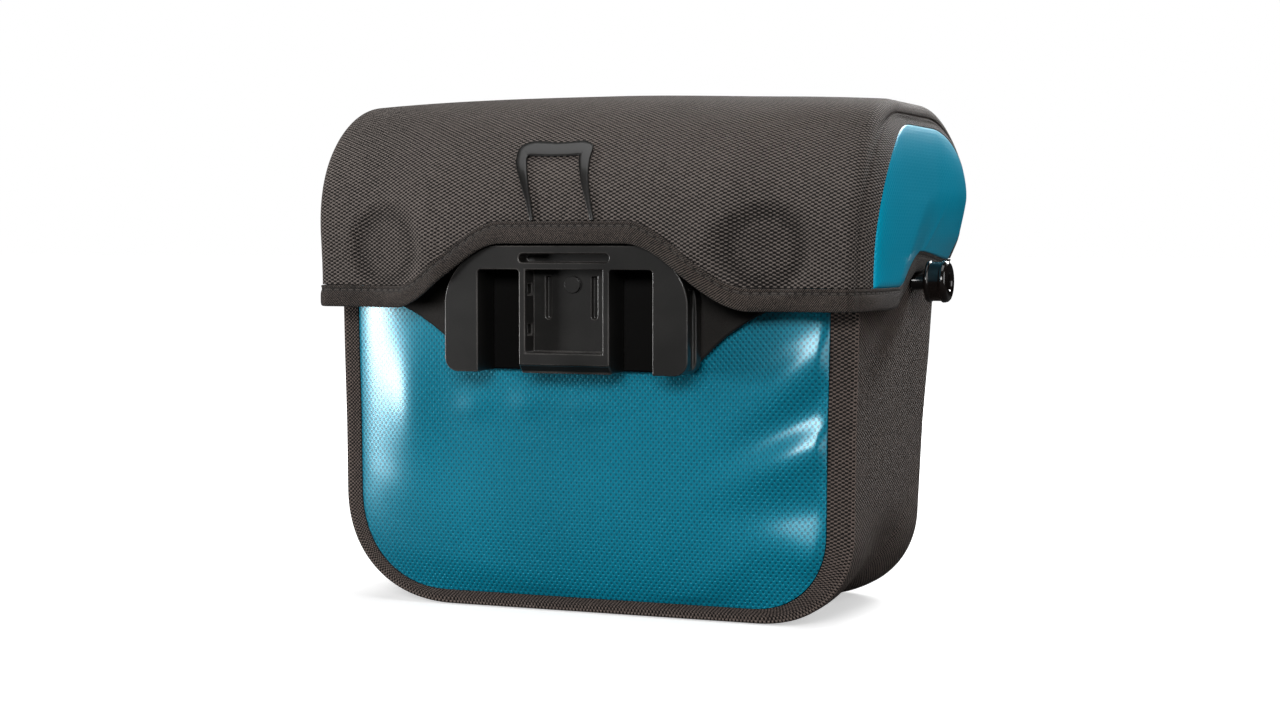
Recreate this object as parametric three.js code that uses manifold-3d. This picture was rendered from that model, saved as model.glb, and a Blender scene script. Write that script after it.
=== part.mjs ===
// A bicycle handlebar bag, closed and standing on its bottom.
// Millimetres. X runs along the handlebar, +Y points forward, away from the rider, and +Z is up.
// While the pieces are made, Y = 0 is the body's rear face, the one that faces the rider and
// carries the handlebar mount. The whole bag is centred on Y at the end.

import * as THREE from "three";
import { mergeVertices } from "three/addons/utils/BufferGeometryUtils.js";
import Module from "manifold-3d";

const wasm = await Module();
wasm.setup();
const { smoothstep, degToRad } = THREE.MathUtils;

// Driving dimensions

const seam = 0.3;

const bodyWidth = 243;
const bodyDepth = 131;
const bodyHeight = 182;
const bodyWall = 1.8;
const bodyLeftCorner = { across: 54, along: 50 };
const bodyRightCorner = { across: 44, along: 40 };
const cornerPower = 2.2;
const rearFoldRadius = 5;
const frontFoldRadius = 12;
const sideBorder = 10;
const panelShift = -2;
const bottomBorder = 6;
const pinchDepth = 3;
const faceOverrun = 3;

const panelThickness = 1.5;
const panelRecess = 0.2;
const rearCrown = 7;
const frontCrown = 5;
const crownRamp = 38;
const crownLostAtRim = 0.6;

const lidOverFront = 23;
const lidAboveRim = 42;
const lidCrown = 3;
const lidSlump = 1.3;
const lidWall = 1.8;
const lidFit = 0.5;
const lidFold = 5;
const lidRearCorner = { across: 60, along: 60 };
const lidFrontCorner = { across: 62, along: 42 };
const lidWidening = 2.5;
const flapStandoff = 17.5;
const flapClearance = 0.5;
const flapSpread = 102;
const frontLean = 14;
const endDome = 6.5;
const frontSwell = 3.8;
const rimClearance = 3;
const leanLimit = 1.4;

const inlayRearBorder = 17;
const inlayFrontBorder = 9;
const inlayTopBorder = 10;
const inlayRearCorner = { across: 58, along: 56 };
const inlayFrontCorner = { across: 50, along: 30 };
const inlayRecess = 0.4;

const hemBelowRim = 49;
const hemBand = 9.5;
const hemProud = 0.9;
const mountArchRise = 28;
const mountArchHalfWidth = 82;
const mountArchFlatHalf = 28;
const knobArchStart = 42;
const frontHemDrop = 4;

const dishX = 87;
const dishAboveHem = 25;
const dishInnerRadius = 12.5;
const dishOuterRadius = 18;
const dishDepth = 0.9;

const loopTopWidth = 36;
const loopFootWidth = 30;
const loopBelowTop = 19;
const loopTopLean = -9.5;
const loopFootLean = 1.5;
const loopBar = 6.5;
const loopLegTop = 5.2;
const loopLegFoot = 2;
const loopThickness = 2.2;
const loopShoulder = 4;
const loopOuterSoft = 3;
const loopInnerSoft = 2;
const loopTopSoft = 1.5;

const plateThickness = 3;
const plateWidth = 190;
const plateHeight = 67.5;
const plateBelowRim = 8;

const housingWidth = 112;
const housingDepth = 16.7;
const housingHeight = 54.2;
const housingUnderHem = 0.8;
const housingChamfer = 1;
const housingFoot = 6;
const housingShoulder = 24;
const channelWidth = 19.5;
const channelHeight = 44;
const trayWidth = 41.6;
const trayWall = 3;
const trayLip = 8.5;
const trayDepth = 9;
const slotHeight = 3.8;
const slotDepth = 8;
const slotAboveChannel = 3;
const channelSoft = 1.5;
const traySoft = 1;
const grooveWidth = 2.4;
const grooveDepth = 1.5;
const grooveHeight = 18;
const grooveBelowTop = 3;
const grooveLeftX = -10.8;
const grooveRightX = 10.5;
const lipCutDepth = 6;
const lipCutHeight = 12;
const lipCutTilt = 35;
const lipCutReach = 1.2;
const buttonRadius = 3.7;
const buttonProud = 0.7;
const buttonX = 0.4;
const buttonBelowTop = 6.5;
const cutOverrun = 1;

const knobY = 85;
const knobBelowRim = 38;
const knobNeckRadius = 3.6;
const knobBarrelRadius = 9.4;
const knobReach = 16.9;

// Colours

const wovenBlack = { color: 0x48423e, roughness: 0.9, metalness: 0 };
const tapeBlack = { color: 0x3a332f, roughness: 0.85, metalness: 0 };
const tealSheet = { color: 0x007894, roughness: 0.35, metalness: 0 };
const satinPlastic = { color: 0x1b1a19, roughness: 0.42, metalness: 0 };
const glossPlastic = { color: 0x17110f, roughness: 0.2, metalness: 0 };

// Sizes that follow from the others

const lidTop = bodyHeight + lidAboveRim;
const hemHeight = bodyHeight - hemBelowRim;
const knobHeight = bodyHeight - knobBelowRim;
const dishHeight = hemHeight + dishAboveHem;
const loopTopHeight = lidTop - loopBelowTop;
const plateTop = bodyHeight - plateBelowRim;
const plateLow = plateTop - plateHeight;
const housingTop = hemHeight + mountArchRise - housingUnderHem;
const housingLow = housingTop - housingHeight;
const channelTop = housingLow + channelHeight;
const trayFloorHeight = housingLow + trayLip;
const plateBack = -(rearCrown + seam);
const plateFace = plateBack - plateThickness;
const housingBack = plateFace - seam;
const housingFace = housingBack - housingDepth;
const flapPlane = housingFace - flapClearance - lidWall;
const lidHalfWidth = bodyWidth / 2 + lidFit + lidWall;
const lidFront = bodyDepth + lidOverFront;
const lidDepth = flapStandoff + lidFront;
const knobArchTop = knobHeight + knobNeckRadius + 2 * seam;
const hoodBase = hemHeight - 2 * hemBand;
const domeRamp = 4 * hemBand;
const inlayPlane = lidHalfWidth - 3 * lidWall;
const far = 2 * (bodyWidth + lidDepth);

// Solids

function toSolid(geometry) {
  const bare = geometry.clone();
  bare.deleteAttribute("normal");
  bare.deleteAttribute("uv");
  const merged = mergeVertices(bare, 1e-4);
  return new wasm.Manifold(new wasm.Mesh({
    numProp: 3,
    vertProperties: new Float32Array(merged.attributes.position.array),
    triVerts: new Uint32Array(merged.index.array),
  }));
}

function toGeometry(solid) {
  const mesh = solid.getMesh();
  const geometry = new THREE.BufferGeometry();
  geometry.setAttribute("position", new THREE.BufferAttribute(mesh.vertProperties, 3));
  geometry.setIndex(new THREE.BufferAttribute(mesh.triVerts, 1));
  geometry.computeVertexNormals();
  return geometry;
}

function moveVertices(geometry, move) {
  const position = geometry.attributes.position;
  const point = new THREE.Vector3();
  for (let i = 0; i < position.count; i += 1) {
    point.fromBufferAttribute(position, i);
    const moved = move(point);
    position.setXYZ(i, moved.x, moved.y, moved.z);
  }
  return geometry;
}

// A shape drawn in X and Z, run along Y from `rear` to `front`.
function alongY(shape, rear, front, bevel = 0) {
  const geometry = new THREE.ExtrudeGeometry(shape, {
    depth: front - rear - 2 * bevel,
    curveSegments: 4,
    bevelEnabled: bevel > 0,
    bevelThickness: bevel,
    bevelSize: bevel,
    bevelOffset: -bevel,
    bevelSegments: 1,
  });
  geometry.rotateX(Math.PI / 2);
  geometry.translate(0, front - bevel, 0);
  return toSolid(geometry);
}

// A shape drawn in Y and Z, run along X from `left` to `right`.
function alongX(shape, left, right) {
  const geometry = new THREE.ExtrudeGeometry(shape, {
    depth: right - left,
    curveSegments: 4,
    bevelEnabled: false,
  });
  const axes = new THREE.Matrix4().makeBasis(
    new THREE.Vector3(0, 1, 0),
    new THREE.Vector3(0, 0, 1),
    new THREE.Vector3(1, 0, 0),
  );
  geometry.applyMatrix4(axes);
  geometry.translate(left, 0, 0);
  return toSolid(geometry);
}

function block(width, depth, height, x, y, z) {
  const geometry = new THREE.BoxGeometry(width, depth, height);
  geometry.translate(x, y, z);
  return toSolid(geometry);
}

// Outlines

// An arch has two straight sides and two rounded corners at its crest. The body's is upside down,
// with its crest at the bottom. Each corner is a quarter of a superellipse.
function archPoints(arch) {
  const side = Math.sign(arch.crest - arch.base);
  const sidePieces = 5;
  const cornerPieces = 7;
  const crestPieces = 4;
  const points = [];
  const add = (u, v) => points.push(new THREE.Vector2(u, v));
  const startFoot = arch.crest - side * arch.startCorner.along;
  const endFoot = arch.crest - side * arch.endCorner.along;
  for (let i = 0; i < sidePieces; i += 1) {
    add(arch.start, arch.base + (startFoot - arch.base) * i / sidePieces);
  }
  const bend = (angle, trig) => Math.pow(Math.abs(trig(degToRad(angle))), 2 / arch.power);
  for (let i = 0; i < cornerPieces; i += 1) {
    const angle = 90 * i / cornerPieces;
    add(
      arch.start + arch.startCorner.across * (1 - bend(angle, Math.cos)),
      startFoot + side * arch.startCorner.along * bend(angle, Math.sin),
    );
  }
  const crestStart = arch.start + arch.startCorner.across;
  const crestEnd = arch.end - arch.endCorner.across;
  for (let i = 0; i < crestPieces; i += 1) {
    add(crestStart + (crestEnd - crestStart) * i / crestPieces, arch.crest);
  }
  for (let i = 0; i < cornerPieces; i += 1) {
    const angle = 90 * (1 - i / cornerPieces);
    add(
      arch.end - arch.endCorner.across * (1 - bend(angle, Math.cos)),
      endFoot + side * arch.endCorner.along * bend(angle, Math.sin),
    );
  }
  for (let i = 0; i <= sidePieces; i += 1) {
    add(arch.end, endFoot + (arch.base - endFoot) * i / sidePieces);
  }
  return points;
}

// The arch made smaller by `across` at its sides and `along` at its crest. Its base stays.
function insetArch(arch, across, along) {
  const side = Math.sign(arch.crest - arch.base);
  const shrink = (corner) => ({ across: corner.across - across, along: corner.along - along });
  return {
    ...arch,
    start: arch.start + across,
    end: arch.end - across,
    crest: arch.crest - side * along,
    startCorner: shrink(arch.startCorner),
    endCorner: shrink(arch.endCorner),
  };
}

// A closed outline through corners, each rounded from `soft` before it to `soft` after it.
function softShape(corners) {
  const shape = new THREE.Shape();
  corners.forEach((corner, i) => {
    const here = new THREE.Vector2(corner.x, corner.z);
    const before = corners[(i + corners.length - 1) % corners.length];
    const after = corners[(i + 1) % corners.length];
    const soft = corner.soft ?? 0;
    const towards = (other) => new THREE.Vector2(other.x, other.z).sub(here).setLength(soft).add(here);
    const enter = soft > 0 ? towards(before) : here;
    if (i === 0) {
      shape.moveTo(enter.x, enter.y);
    } else {
      shape.lineTo(enter.x, enter.y);
    }
    if (soft > 0) {
      const leave = towards(after);
      shape.quadraticCurveTo(here.x, here.y, leave.x, leave.y);
    }
  });
  shape.closePath();
  return shape;
}

// Corners given for the right half, from bottom to top, and repeated on the left.
function mirroredShape(rightCorners) {
  const leftCorners = rightCorners.map((corner) => ({ ...corner, x: -corner.x })).reverse();
  return softShape([...rightCorners, ...leftCorners]);
}

function rectangle(left, right, low, high, soft = 0) {
  return softShape([
    { x: left, z: low, soft },
    { x: right, z: low, soft },
    { x: right, z: high, soft },
    { x: left, z: high, soft },
  ]);
}

// Runs the outline's rings through stations, where `place` sets each ring's points.
function loft(arches, place) {
  const rings = arches.map(archPoints);
  const geometry = new THREE.ExtrudeGeometry(new THREE.Shape(rings[0]), {
    depth: arches.length - 1,
    steps: arches.length - 1,
    bevelEnabled: false,
  });
  const onFirstRing = archPoints(arches[0]);
  moveVertices(geometry, (point) => {
    const index = onFirstRing.findIndex((p) => Math.hypot(p.x - point.x, p.y - point.y) < 1e-3);
    const station = Math.round(point.z);
    return place(rings[station][index], station);
  });
  return toSolid(geometry);
}

// Body

// The body's sections up its height. Width and depth are shares of bodyWidth and bodyDepth.
const bodySections = [
  { height: 0.0, width: 0.985, depth: 0.84 },
  { height: 0.22, width: 0.987, depth: 0.865 },
  { height: 0.44, width: 0.99, depth: 0.915 },
  { height: 0.6, width: 0.996, depth: 0.965 },
  { height: 0.74, width: 1.0, depth: 1.0 },
  { height: 1.0, width: 1.0, depth: 1.0 },
];

function bodyShare(column, z) {
  const share = THREE.MathUtils.clamp(z / bodyHeight, 0, 1);
  const upper = Math.max(1, bodySections.findIndex((row) => row.height >= share));
  const [a, b] = [bodySections[upper - 1], bodySections[upper]];
  return THREE.MathUtils.mapLinear(share, a.height, b.height, a[column], b[column]);
}

const bodyArch = {
  start: -bodyWidth / 2,
  end: bodyWidth / 2,
  base: bodyHeight,
  crest: 0,
  startCorner: bodyLeftCorner,
  endCorner: bodyRightCorner,
  power: cornerPower,
};

const depthAt = (z) => bodyDepth * bodyShare("depth", z);

// The folds between the two faces and the gusset, and the pinch across the bottom corners.
function bodyStations(inset) {
  const turns = [90, 60, 30, 0];
  const faceRing = sideBorder + faceOverrun;
  const fold = (share, direction, radius, angle) => ({
    share,
    shift: direction * (inset + radius * (1 - Math.sin(degToRad(angle)))),
    inset: inset + radius * (1 - Math.cos(degToRad(angle))),
    pinch: 0,
  });
  const middle = (share, pinch) => ({ share, shift: 0, inset, pinch });
  return [
    { share: 1, shift: -inset, inset: inset + faceRing, pinch: 0 },
    ...turns.map((angle) => fold(1, -1, frontFoldRadius - inset, angle)),
    middle(0.75, 0.4),
    middle(0.5, 1),
    middle(0.25, 0.4),
    ...[...turns].reverse().map((angle) => fold(0, 1, rearFoldRadius - inset, angle)),
    { share: 0, shift: inset, inset: inset + faceRing, pinch: 0 },
  ];
}

function bodyForm(inset, rise) {
  const stations = bodyStations(inset);
  const raised = { ...bodyArch, base: bodyArch.base + rise };
  const arches = stations.map((station) => insetArch(raised, station.inset, station.inset));
  return loft(arches, (point, index) => {
    const station = stations[index];
    const cornerTop = bodyLeftCorner.along;
    const cornerIn = Math.abs(point.x) - (bodyWidth / 2 - bodyLeftCorner.across);
    const low = smoothstep(cornerTop - point.y, 0, cornerTop / 2);
    const wide = smoothstep(cornerIn, 0, bodyLeftCorner.across / 2);
    const pinch = pinchDepth * station.pinch * low * wide;
    return {
      x: Math.sign(point.x) * (Math.abs(point.x) - pinch) * bodyShare("width", point.y),
      y: station.share * depthAt(point.y) + station.shift,
      z: point.y + pinch,
    };
  });
}

function faceShape(inset, rise) {
  const raised = { ...bodyArch, base: bodyArch.base + rise };
  const arch = insetArch(raised, sideBorder + inset, bottomBorder + inset);
  const points = archPoints(arch).map((p) => (
    new THREE.Vector2((p.x + panelShift) * bodyShare("width", p.y), p.y)
  ));
  return new THREE.Shape(points);
}

function gussetBand() {
  const windowThrough = alongY(faceShape(0, bodyWall), -bodyDepth, 2 * bodyDepth);
  return bodyForm(0, 0).subtract(bodyForm(bodyWall, bodyWall)).subtract(windowThrough);
}

// How far a face bulges at X and Z: nothing at its border, all of it over its middle.
function crownAt(x, z, crown) {
  const halfWidth = bodyWidth / 2 - sideBorder;
  const sideways = smoothstep(halfWidth - Math.abs(x - panelShift), 0, crownRamp);
  const upwards = smoothstep(z - bottomBorder, 0, crownRamp);
  const fadeToRim = 1 - crownLostAtRim * smoothstep(z, hemHeight + 2 * hemBand, bodyHeight);
  return crown * sideways * upwards * fadeToRim;
}

// A crowned sheet cut to the outline of a face. `outer` gives the outside's Y and `inwards` the
// direction to its inside.
function facePanel(outer, inwards) {
  const geometry = new THREE.BoxGeometry(bodyWidth, 1, bodyHeight, 14, 1, 10);
  geometry.translate(0, 0, bodyHeight / 2);
  moveVertices(geometry, (point) => {
    const inside = Math.sign(point.y) === inwards;
    const y = outer(point.x, point.z) + (inside ? inwards * panelThickness : 0);
    return { x: point.x, y, z: point.z };
  });
  const cut = alongY(faceShape(seam, 0), -bodyDepth, 2 * bodyDepth);
  return toSolid(geometry).intersect(cut);
}

const rearPanel = () => facePanel((x, z) => panelRecess - crownAt(x, z, rearCrown), 1);
const frontPanel = () => facePanel((x, z) => depthAt(z) - panelRecess + crownAt(x, z, frontCrown), -1);

// Lid

const lidArch = {
  start: -flapStandoff,
  end: lidFront,
  base: hoodBase,
  crest: lidTop,
  startCorner: lidRearCorner,
  endCorner: lidFrontCorner,
  power: 2,
};

// The front wall leans in towards its hem.
function leanAt(y, z) {
  const corner = lidTop - lidFrontCorner.along;
  const down = THREE.MathUtils.clamp((corner - z) / (corner - hemHeight - hemBand), 0, leanLimit);
  return frontLean * down * smoothstep(y, lidFront / 2, lidFront - lidFrontCorner.across);
}

// How far the flap is drawn from its plain arch to the plane in front of the mount's housing.
function flapPull(x, y, z) {
  const full = housingWidth / 2 + rimClearance;
  const over = smoothstep(flapSpread - Math.abs(x), 0, flapSpread - full);
  const down = smoothstep(lidTop - z, 0, lidTop - housingTop);
  const rear = smoothstep(lidFront / 2 - y, 0, lidFront / 2);
  return over * down * rear;
}

// The top bulges along its length, and its right end sits a little lower than its left.
function crownOver(x, z) {
  const bulge = lidCrown * (1 - (Math.abs(x) / lidHalfWidth) ** 3);
  const slump = lidSlump * smoothstep(x, 0, 0.6 * lidHalfWidth);
  return (bulge - slump) * (z - hoodBase) / (lidTop - hoodBase);
}

// The ends swell most towards the front, just above the hem's arch over the knob.
function swellAt(y, z) {
  const shoulder = lidTop - lidFrontCorner.along;
  const forward = smoothstep(y, knobY, lidFront - lidFold);
  const up = smoothstep(z, knobArchTop, knobArchTop + 2 * hemBand);
  return frontSwell * forward * up * (1 - smoothstep(z, shoulder, lidTop + hemBand));
}

// The lid's ends swell outwards above the hem. `inwards` is a share of the way from the fold to the
// corners' centres, `scale` shrinks a ring further in, and `rise` is a share of endDome.
const domeRings = [
  { inwards: 0.25, scale: 1, rise: 0.5 },
  { inwards: 0.6, scale: 1, rise: 0.84 },
  { inwards: 0.95, scale: 1, rise: 0.96 },
  { inwards: 0.95, scale: 0.6, rise: 1 },
  { inwards: 0.95, scale: 0.15, rise: 1 },
];

function lidStations(offset) {
  const half = lidHalfWidth + offset;
  const fold = lidFold + offset;
  const smallest = Math.min(lidFrontCorner.across, lidFrontCorner.along) + offset;
  const folds = [0, 30, 60, 90].map((angle) => ({
    x: half - fold * (1 - Math.sin(degToRad(angle))),
    inset: fold * (1 - Math.cos(degToRad(angle))),
    scale: 1,
    rise: 0,
  }));
  const domes = domeRings.map((ring) => ({
    x: half,
    inset: fold + (smallest - fold) * ring.inwards,
    scale: ring.scale,
    rise: ring.rise,
  }));
  const spans = 14;
  const reach = half - fold;
  const middle = Array.from({ length: spans - 1 }, (_, i) => ({
    x: -reach + 2 * reach * (i + 1) / spans,
    inset: 0,
    scale: 1,
    rise: 0,
  }));
  const right = [...folds, ...domes];
  const left = right.map((station) => ({ ...station, x: -station.x })).reverse();
  return [...left, ...middle, ...right];
}

// The hood's outside with an offset of 0, and surfaces parallel to it.
function lidForm(offset) {
  const grown = insetArch(lidArch, -offset, -offset);
  const stations = lidStations(offset);
  const arches = stations.map((station) => insetArch(grown, station.inset, station.inset));
  const middleY = (lidFront - flapStandoff) / 2;
  return loft(arches, (point, index) => {
    const station = stations[index];
    const y = middleY + (point.x - middleY) * station.scale;
    const z = hoodBase + (point.y - hoodBase) * station.scale;
    const overKnob = smoothstep(y, 0, knobY);
    const domeStart = THREE.MathUtils.lerp(hemHeight - domeRamp, knobArchTop, overKnob);
    const dome = endDome * station.rise * smoothstep(z, domeStart, domeStart + domeRamp);
    const upper = smoothstep(z, hemHeight + hemBand, lidTop - lidFrontCorner.along / 2);
    const wider = lidWidening * upper + swellAt(y, z);
    const pulled = THREE.MathUtils.lerp(y, flapPlane - offset, flapPull(station.x, y, z));
    return {
      x: station.x * (1 + wider / lidHalfWidth) + Math.sign(station.x) * dome,
      y: pulled - leanAt(y, z),
      z: z + crownOver(station.x, z),
    };
  });
}

// Height of the hem's lower edge along the flap, over the mount.
function rearHem(x) {
  const ramp = mountArchHalfWidth - mountArchFlatHalf;
  return hemHeight + mountArchRise * smoothstep(mountArchHalfWidth - Math.abs(x), 0, ramp);
}

// Height of the hem's lower edge along the ends, over the knob, and of the front.
function endHem(y) {
  const rise = (knobArchTop - hemHeight) * smoothstep(y, knobArchStart, knobY - knobNeckRadius / 2);
  const drop = frontHemDrop * smoothstep(y, knobY + knobNeckRadius, lidFront - inlayFrontBorder);
  return hemHeight + rise - drop;
}

// All that lies less than `height` above the hem's lower edge.
function belowHem(height) {
  const pieces = 48;
  const under = (start, end, edge) => {
    const points = [new THREE.Vector2(end, 0), new THREE.Vector2(start, 0)];
    for (let i = 0; i <= pieces; i += 1) {
      const along = start + (end - start) * i / pieces;
      points.push(new THREE.Vector2(along, edge(along) + height));
    }
    return new THREE.Shape(points);
  };
  const pastEnds = 1.2 * lidHalfWidth;
  const rear = alongY(under(-pastEnds, pastEnds, rearHem), -lidDepth, bodyWall);
  const ends = alongX(under(-lidDepth / 2, 1.5 * lidDepth, endHem), -far, far);
  return rear.add(ends);
}

function inlayShape(inset) {
  const arch = insetArch({
    ...lidArch,
    start: lidArch.start + inlayRearBorder,
    end: lidArch.end - inlayFrontBorder,
    crest: lidArch.crest - inlayTopBorder,
    startCorner: inlayRearCorner,
    endCorner: inlayFrontCorner,
  }, inset, inset);
  return new THREE.Shape(archPoints(arch).map((p) => new THREE.Vector2(p.x - leanAt(p.x, p.y), p.y)));
}

function dishRing(side) {
  const shape = new THREE.Shape();
  shape.absarc(side * dishX, dishHeight, dishOuterRadius, 0, 2 * Math.PI);
  const hole = new THREE.Path();
  hole.absarc(side * dishX, dishHeight, dishInnerRadius, 0, 2 * Math.PI);
  shape.holes.push(hole);
  return alongY(shape, -lidDepth, 0);
}

const lidOutside = lidForm(0);
const lidInside = lidForm(-lidWall);

function lidCover() {
  const windows = alongX(inlayShape(0), inlayPlane, far);
  const dishes = dishRing(1).add(dishRing(-1)).subtract(lidForm(-dishDepth));
  return lidOutside
    .subtract(lidInside)
    .subtract(windows)
    .subtract(windows.mirror([1, 0, 0]))
    .subtract(dishes)
    .subtract(belowHem(hemBand + seam));
}

function lidEndInlay(side) {
  const inlay = lidForm(-inlayRecess)
    .subtract(lidInside)
    .intersect(alongX(inlayShape(seam), inlayPlane + seam, far))
    .subtract(belowHem(hemBand + seam));
  return side > 0 ? inlay : inlay.mirror([1, 0, 0]);
}

function lidHem() {
  return lidForm(hemProud).subtract(lidInside).intersect(belowHem(hemBand)).subtract(belowHem(0));
}

function pullLoop() {
  const foot = rearHem(0) + hemBand + seam;
  const barFoot = loopTopHeight - loopBar;
  const footAt = (side, inwards) => loopFootLean + side * (loopFootWidth / 2 - inwards);
  const topAt = (side, inwards) => loopTopLean + side * (loopTopWidth / 2 - inwards);
  const shape = softShape([
    { x: footAt(-1, 0), z: foot },
    { x: footAt(-1, loopLegFoot), z: foot },
    { x: topAt(-1, loopLegTop), z: barFoot, soft: loopInnerSoft },
    { x: topAt(1, loopLegTop), z: barFoot, soft: loopInnerSoft },
    { x: footAt(1, loopLegFoot), z: foot },
    { x: footAt(1, 0), z: foot },
    { x: topAt(1, 0), z: barFoot, soft: loopOuterSoft },
    { x: topAt(1, loopShoulder), z: loopTopHeight, soft: loopTopSoft },
    { x: topAt(-1, loopShoulder), z: loopTopHeight, soft: loopTopSoft },
    { x: topAt(-1, 0), z: barFoot, soft: loopOuterSoft },
  ]);
  const sheet = lidForm(loopThickness + seam).subtract(lidForm(seam));
  return sheet.intersect(alongY(shape, -lidDepth, lidFront / 2));
}

// Mount

// The backplate's right edge from its foot to its top. `out` is a share of half its width, and `up`
// and `soft` are shares of its height.
const plateEdge = [
  { out: 0.526, up: 0, soft: 0.06 },
  { out: 0.695, up: 0.23, soft: 0.09 },
  { out: 0.842, up: 0.363, soft: 0.09 },
  { out: 1, up: 0.452, soft: 0.075 },
  { out: 1, up: 1, soft: 0.15 },
];

function mountBackplate() {
  const corners = plateEdge.map(({ out, up, soft }) => ({
    x: out * plateWidth / 2,
    z: plateLow + up * plateHeight,
    soft: soft * plateHeight,
  }));
  return alongY(mirroredShape(corners), plateFace, plateBack, plateThickness / 5);
}

function mountHousing() {
  const half = housingWidth / 2;
  const shell = alongY(mirroredShape([
    { x: half, z: housingLow, soft: housingFoot },
    { x: half, z: housingTop, soft: housingShoulder },
  ]), housingFace, housingBack, housingChamfer);
  const trayHalf = trayWidth / 2;
  const trayFloor = housingFace + trayDepth;
  const channel = alongY(
    rectangle(trayHalf, trayHalf + channelWidth, housingLow - housingFoot, channelTop, channelSoft),
    housingFace - cutOverrun,
    housingBack + cutOverrun,
  );
  const slotLow = channelTop + slotAboveChannel;
  const slot = alongY(
    rectangle(-trayHalf, trayHalf, slotLow, slotLow + slotHeight, slotHeight / 2.1),
    housingFace - cutOverrun,
    housingFace + slotDepth,
  );
  const pocketHalf = trayHalf - trayWall;
  const pocket = alongY(
    rectangle(-pocketHalf, pocketHalf, trayFloorHeight, channelTop, traySoft),
    housingFace - cutOverrun,
    trayFloor,
  );
  const grooveMiddle = channelTop - grooveBelowTop - grooveHeight / 2;
  const groove = (x) => block(grooveWidth, 2 * grooveDepth, grooveHeight, x, trayFloor, grooveMiddle);
  const lipCut = new THREE.BoxGeometry(trayWidth, lipCutDepth, lipCutHeight);
  lipCut.rotateX(degToRad(lipCutTilt));
  lipCut.translate(0, housingFace - lipCutReach, housingLow);
  const button = new THREE.CylinderGeometry(buttonRadius, buttonRadius, 2 * buttonProud, 20);
  button.translate(buttonX, trayFloor, channelTop - buttonBelowTop);
  return shell
    .subtract(channel)
    .subtract(channel.mirror([1, 0, 0]))
    .subtract(slot)
    .subtract(pocket)
    .subtract(groove(grooveLeftX))
    .subtract(groove(grooveRightX))
    .subtract(toSolid(lipCut))
    .add(toSolid(button));
}

// Strap knobs

// The knob's profile from the bag's side outwards. `out` is a share of its length and `radius` a
// share of the barrel's.
const knobProfile = [
  { out: 0.0, radius: knobNeckRadius / knobBarrelRadius },
  { out: 0.4, radius: knobNeckRadius / knobBarrelRadius },
  { out: 0.4, radius: 0.9 },
  { out: 0.43, radius: 1.0 },
  { out: 0.49, radius: 1.0 },
  { out: 0.52, radius: 0.93 },
  { out: 0.78, radius: 0.93 },
  { out: 0.82, radius: 1.0 },
  { out: 0.94, radius: 0.97 },
  { out: 1.0, radius: 0.84 },
];

function strapKnob(side) {
  const seat = bodyWidth / 2 * bodyShare("width", knobHeight) + seam;
  const profile = [
    new THREE.Vector2(0, 0),
    ...knobProfile.map((row) => new THREE.Vector2(row.radius * knobBarrelRadius, row.out * knobReach)),
    new THREE.Vector2(0, knobReach),
  ];
  const geometry = new THREE.LatheGeometry(profile, 20);
  geometry.rotateZ(-Math.PI / 2);
  geometry.translate(seat, knobY, knobHeight);
  const solid = toSolid(geometry);
  return side > 0 ? solid : solid.mirror([1, 0, 0]);
}

// The bag

const bag = new THREE.Group();

function addPiece(name, solid, look) {
  const mesh = new THREE.Mesh(toGeometry(solid), new THREE.MeshStandardMaterial(look));
  mesh.name = name;
  bag.add(mesh);
}

addPiece("gusset_band", gussetBand(), wovenBlack);
addPiece("mount_side_panel", rearPanel(), tealSheet);
addPiece("front_panel", frontPanel(), tealSheet);
addPiece("lid_cover", lidCover(), wovenBlack);
addPiece("lid_end_right", lidEndInlay(1), tealSheet);
addPiece("lid_end_left", lidEndInlay(-1), tealSheet);
addPiece("lid_hem", lidHem(), tapeBlack);
addPiece("lid_pull_loop", pullLoop(), wovenBlack);
addPiece("mount_backplate", mountBackplate(), satinPlastic);
addPiece("mount_housing", mountHousing(), satinPlastic);
addPiece("strap_knob_right", strapKnob(1), glossPlastic);
addPiece("strap_knob_left", strapKnob(-1), glossPlastic);

const extent = new THREE.Box3().setFromObject(bag);
bag.position.y = -(extent.min.y + extent.max.y) / 2;

export default bag;
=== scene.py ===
import math

import bpy
import numpy as np
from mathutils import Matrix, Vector


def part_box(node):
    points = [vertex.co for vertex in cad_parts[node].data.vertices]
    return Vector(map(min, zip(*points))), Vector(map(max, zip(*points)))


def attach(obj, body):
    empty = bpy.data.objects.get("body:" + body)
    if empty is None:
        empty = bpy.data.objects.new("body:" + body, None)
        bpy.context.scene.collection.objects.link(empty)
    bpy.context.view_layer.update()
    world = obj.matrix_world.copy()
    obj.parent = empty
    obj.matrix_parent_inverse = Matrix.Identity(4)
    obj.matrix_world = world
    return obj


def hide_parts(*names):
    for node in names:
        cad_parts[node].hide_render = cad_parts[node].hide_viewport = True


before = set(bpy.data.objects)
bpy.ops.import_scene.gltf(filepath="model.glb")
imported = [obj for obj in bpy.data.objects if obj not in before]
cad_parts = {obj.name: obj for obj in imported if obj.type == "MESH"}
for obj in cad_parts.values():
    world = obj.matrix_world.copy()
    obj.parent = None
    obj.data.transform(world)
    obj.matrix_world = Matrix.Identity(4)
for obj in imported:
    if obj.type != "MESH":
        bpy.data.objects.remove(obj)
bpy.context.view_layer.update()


# Gusset band
# One strip of stiff woven nylon makes both side walls and the bottom of the bag. Its long edges
# are folded a finger's width onto the two faces, and the rear fold is sewn into a thin ridge.

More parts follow.
